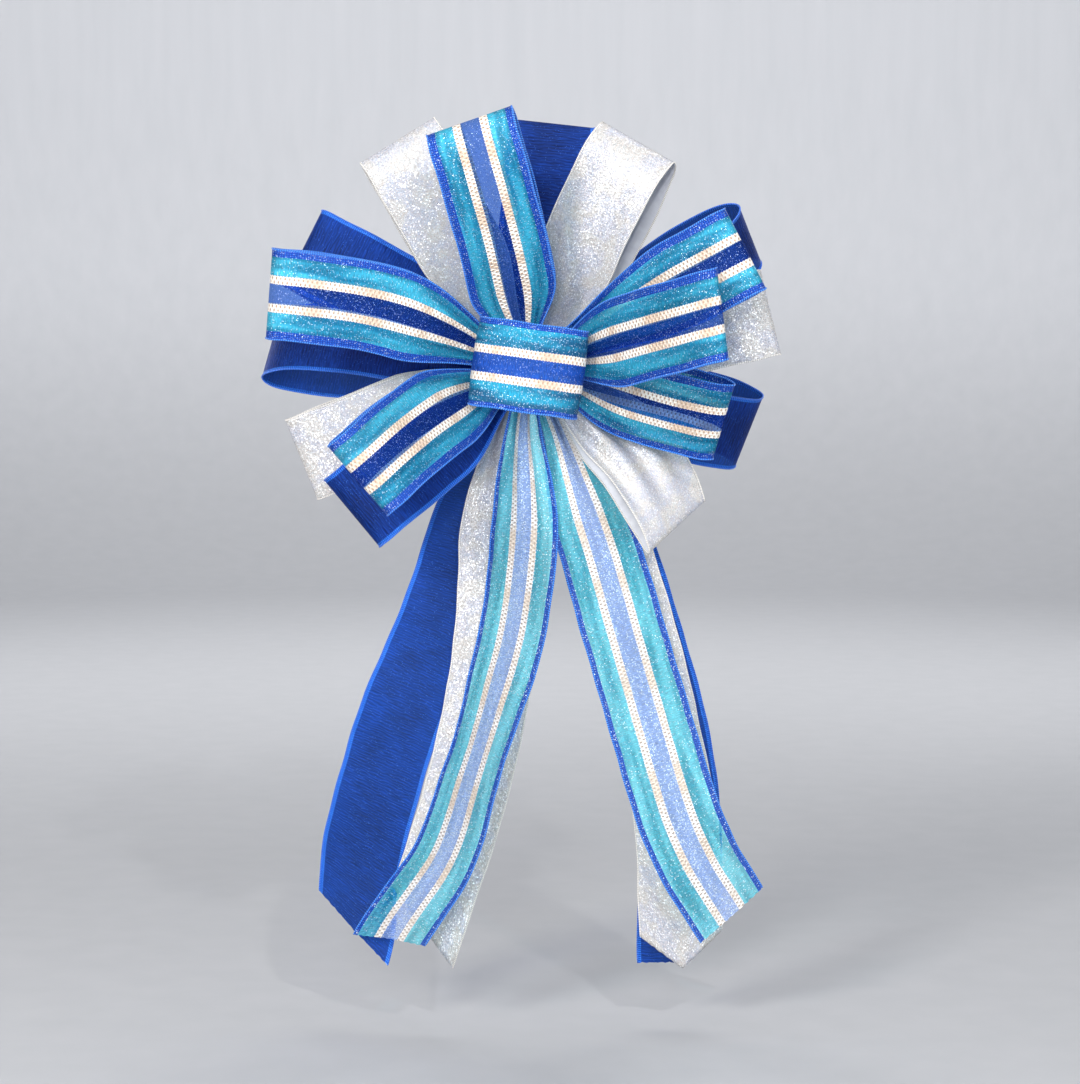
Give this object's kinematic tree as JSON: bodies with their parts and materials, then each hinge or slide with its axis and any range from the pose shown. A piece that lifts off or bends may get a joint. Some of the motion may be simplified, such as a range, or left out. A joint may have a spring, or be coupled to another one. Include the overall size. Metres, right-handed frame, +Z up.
{
  "type": "gift bow",
  "caption": "Hand-tied wired-ribbon gift bow in striped teal, white glitter and sheer blue, with a small centre loop, hanging tails and a wire tie behind.",
  "frame": {"origin": "the tie, at the back of the gathered ribbons, where the bow rests on what it is tied to", "axes": "+X to the right and +Z up across the face of the bow, +Y backward along the tie, so the face looks toward -Y"},
  "size_m": [0.2288, 0.1396, 0.3806],
  "materials": {
    "striped_ribbon": "teal satin with two metallic gold bands and a sheer royal blue middle",
    "white_ribbon": "white with fine silver glitter",
    "blue_ribbon": "sheer royal blue organza",
    "striped_edge": "shiny blue woven edge over a fine wire",
    "white_edge": "white woven edge over a fine wire",
    "blue_edge": "shiny blue woven edge over a fine wire",
    "tie_wire": "matt green cloth wrap over florist wire"
  },
  "bodies": {
    "tied_middle": {"striped_waist": "striped_ribbon", "white_waist": "white_ribbon", "blue_waist": "blue_ribbon", "tie_wire": "tie_wire", "centre_loop": "striped_ribbon", "centre_loop_edge_wires": "striped_edge"},
    "striped_loop_top": {"striped_loop_top": "striped_ribbon", "striped_loop_top_edge_wires": "striped_edge"},
    "striped_loop_right": {"striped_loop_right": "striped_ribbon", "striped_loop_right_edge_wires": "striped_edge"},
    "striped_loop_left": {"striped_loop_left": "striped_ribbon", "striped_loop_left_edge_wires": "striped_edge"},
    "striped_loop_upper_right": {"striped_loop_upper_right": "striped_ribbon", "striped_loop_upper_right_edge_wires": "striped_edge"},
    "striped_loop_lower_left": {"striped_loop_lower_left": "striped_ribbon", "striped_loop_lower_left_edge_wires": "striped_edge"},
    "striped_loop_lower_right": {"striped_loop_lower_right": "striped_ribbon", "striped_loop_lower_right_edge_wires": "striped_edge"},
    "white_loop_lower_right": {"white_loop_lower_right": "white_ribbon", "white_loop_lower_right_edge_wires": "white_edge"},
    "white_loop_upper_left": {"white_loop_upper_left": "white_ribbon", "white_loop_upper_left_edge_wires": "white_edge"},
    "white_loop_upper_right": {"white_loop_upper_right": "white_ribbon", "white_loop_upper_right_edge_wires": "white_edge"},
    "white_loop_right": {"white_loop_right": "white_ribbon", "white_loop_right_edge_wires": "white_edge"},
    "white_loop_lower_left": {"white_loop_lower_left": "white_ribbon", "white_loop_lower_left_edge_wires": "white_edge"},
    "blue_loop_lower_left": {"blue_loop_lower_left": "blue_ribbon", "blue_loop_lower_left_edge_wires": "blue_edge"},
    "blue_loop_top": {"blue_loop_top": "blue_ribbon", "blue_loop_top_edge_wires": "blue_edge"},
    "blue_loop_upper_left": {"blue_loop_upper_left": "blue_ribbon", "blue_loop_upper_left_edge_wires": "blue_edge"},
    "blue_loop_left": {"blue_loop_left": "blue_ribbon", "blue_loop_left_edge_wires": "blue_edge"},
    "blue_loop_upper_right": {"blue_loop_upper_right": "blue_ribbon", "blue_loop_upper_right_edge_wires": "blue_edge"},
    "blue_loop_lower_right": {"blue_loop_lower_right": "blue_ribbon", "blue_loop_lower_right_edge_wires": "blue_edge"},
    "striped_tail_left": {"striped_tail_left": "striped_ribbon", "striped_tail_left_edge_wires": "striped_edge"},
    "striped_tail_right": {"striped_tail_right": "striped_ribbon", "striped_tail_right_edge_wires": "striped_edge"},
    "white_tail_left": {"white_tail_left": "white_ribbon", "white_tail_left_edge_wires": "white_edge"},
    "white_tail_right": {"white_tail_right": "white_ribbon", "white_tail_right_edge_wires": "white_edge"},
    "blue_tail_left": {"blue_tail_left": "blue_ribbon", "blue_tail_left_edge_wires": "blue_edge"},
    "blue_tail_right": {"blue_tail_right": "blue_ribbon", "blue_tail_right_edge_wires": "blue_edge"},
    "tie_wire_end_left": {"tie_wire_end_left": "tie_wire"},
    "tie_wire_end_right": {"tie_wire_end_right": "tie_wire"}
  },
  "joints": [
    {"name": "striped_loop_top_swing", "type": "hinge", "parent": "tied_middle", "child": "striped_loop_top", "pos_m": [0, 0, 0], "axis": [0, 1, 0], "range_deg": [-8, 5]},
    {"name": "striped_loop_right_swing", "type": "hinge", "parent": "tied_middle", "child": "striped_loop_right", "pos_m": [0, 0, 0], "axis": [0, 1, 0], "range_deg": [-5, 4]},
    {"name": "striped_loop_left_swing", "type": "hinge", "parent": "tied_middle", "child": "striped_loop_left", "pos_m": [0, 0, 0], "axis": [0, 1, 0], "range_deg": [-8, 8]},
    {"name": "striped_loop_upper_right_swing", "type": "hinge", "parent": "tied_middle", "child": "striped_loop_upper_right", "pos_m": [0, 0, 0], "axis": [0, 1, 0], "range_deg": [-4, 2]},
    {"name": "striped_loop_lower_left_swing", "type": "hinge", "parent": "tied_middle", "child": "striped_loop_lower_left", "pos_m": [0, 0, 0], "axis": [0, 1, 0], "range_deg": [-3, 8]},
    {"name": "striped_loop_lower_right_swing", "type": "hinge", "parent": "tied_middle", "child": "striped_loop_lower_right", "pos_m": [0, 0, 0], "axis": [0, 1, 0], "range_deg": [-2, 2]},
    {"name": "white_loop_lower_right_swing", "type": "hinge", "parent": "tied_middle", "child": "white_loop_lower_right", "pos_m": [0, 0, 0], "axis": [0, 1, 0], "range_deg": [-2, 2]},
    {"name": "white_loop_upper_left_swing", "type": "hinge", "parent": "tied_middle", "child": "white_loop_upper_left", "pos_m": [0, 0, 0], "axis": [0, 1, 0], "range_deg": [-5, 8]},
    {"name": "white_loop_upper_right_swing", "type": "hinge", "parent": "tied_middle", "child": "white_loop_upper_right", "pos_m": [0, 0, 0], "axis": [0, 1, 0], "range_deg": [-8, 8]},
    {"name": "white_loop_right_swing", "type": "hinge", "parent": "tied_middle", "child": "white_loop_right", "pos_m": [0, 0, 0], "axis": [0, 1, 0], "range_deg": [-4, 5]},
    {"name": "white_loop_lower_left_swing", "type": "hinge", "parent": "tied_middle", "child": "white_loop_lower_left", "pos_m": [0, 0, 0], "axis": [0, 1, 0], "range_deg": [-5, 8]},
    {"name": "blue_loop_lower_left_swing", "type": "hinge", "parent": "tied_middle", "child": "blue_loop_lower_left", "pos_m": [0, 0, 0], "axis": [0, 1, 0], "range_deg": [-3, 5]},
    {"name": "blue_loop_top_swing", "type": "hinge", "parent": "tied_middle", "child": "blue_loop_top", "pos_m": [0, 0, 0], "axis": [0, 1, 0], "range_deg": [-8, 8]},
    {"name": "blue_loop_upper_left_swing", "type": "hinge", "parent": "tied_middle", "child": "blue_loop_upper_left", "pos_m": [0, 0, 0], "axis": [0, 1, 0], "range_deg": [-8, 6]},
    {"name": "blue_loop_left_swing", "type": "hinge", "parent": "tied_middle", "child": "blue_loop_left", "pos_m": [0, 0, 0], "axis": [0, 1, 0], "range_deg": [-6, 8]},
    {"name": "blue_loop_upper_right_swing", "type": "hinge", "parent": "tied_middle", "child": "blue_loop_upper_right", "pos_m": [0, 0, 0], "axis": [0, 1, 0], "range_deg": [-8, 3]},
    {"name": "blue_loop_lower_right_swing", "type": "hinge", "parent": "tied_middle", "child": "blue_loop_lower_right", "pos_m": [0, 0, 0], "axis": [0, 1, 0], "range_deg": [-3, 8]},
    {"name": "striped_tail_left_swing", "type": "hinge", "parent": "tied_middle", "child": "striped_tail_left", "pos_m": [0, 0, 0], "axis": [0, 1, 0], "range_deg": [-2, 3]},
    {"name": "striped_tail_right_swing", "type": "hinge", "parent": "tied_middle", "child": "striped_tail_right", "pos_m": [0, 0, 0], "axis": [0, 1, 0], "range_deg": [-4, 3]},
    {"name": "white_tail_left_swing", "type": "hinge", "parent": "tied_middle", "child": "white_tail_left", "pos_m": [0, 0, 0], "axis": [0, 1, 0], "range_deg": [-5, 3]},
    {"name": "white_tail_right_swing", "type": "hinge", "parent": "tied_middle", "child": "white_tail_right", "pos_m": [0, 0, 0], "axis": [0, 1, 0], "range_deg": [-3, 4]},
    {"name": "blue_tail_left_swing", "type": "hinge", "parent": "tied_middle", "child": "blue_tail_left", "pos_m": [0, 0, 0], "axis": [0, 1, 0], "range_deg": [-6, 6]},
    {"name": "blue_tail_right_swing", "type": "hinge", "parent": "tied_middle", "child": "blue_tail_right", "pos_m": [0, 0, 0], "axis": [0, 1, 0], "range_deg": [-6, 6]},
    {"name": "tie_wire_end_left_bend", "type": "hinge", "parent": "tied_middle", "child": "tie_wire_end_left", "pos_m": [-0.0007, 0.0094, 0], "axis": [0, 0, 1], "range_deg": [-20, 40]},
    {"name": "tie_wire_end_right_bend", "type": "hinge", "parent": "tied_middle", "child": "tie_wire_end_right", "pos_m": [0.0007, 0.0094, 0], "axis": [0, 0, 1], "range_deg": [-40, 20]}
  ]
}
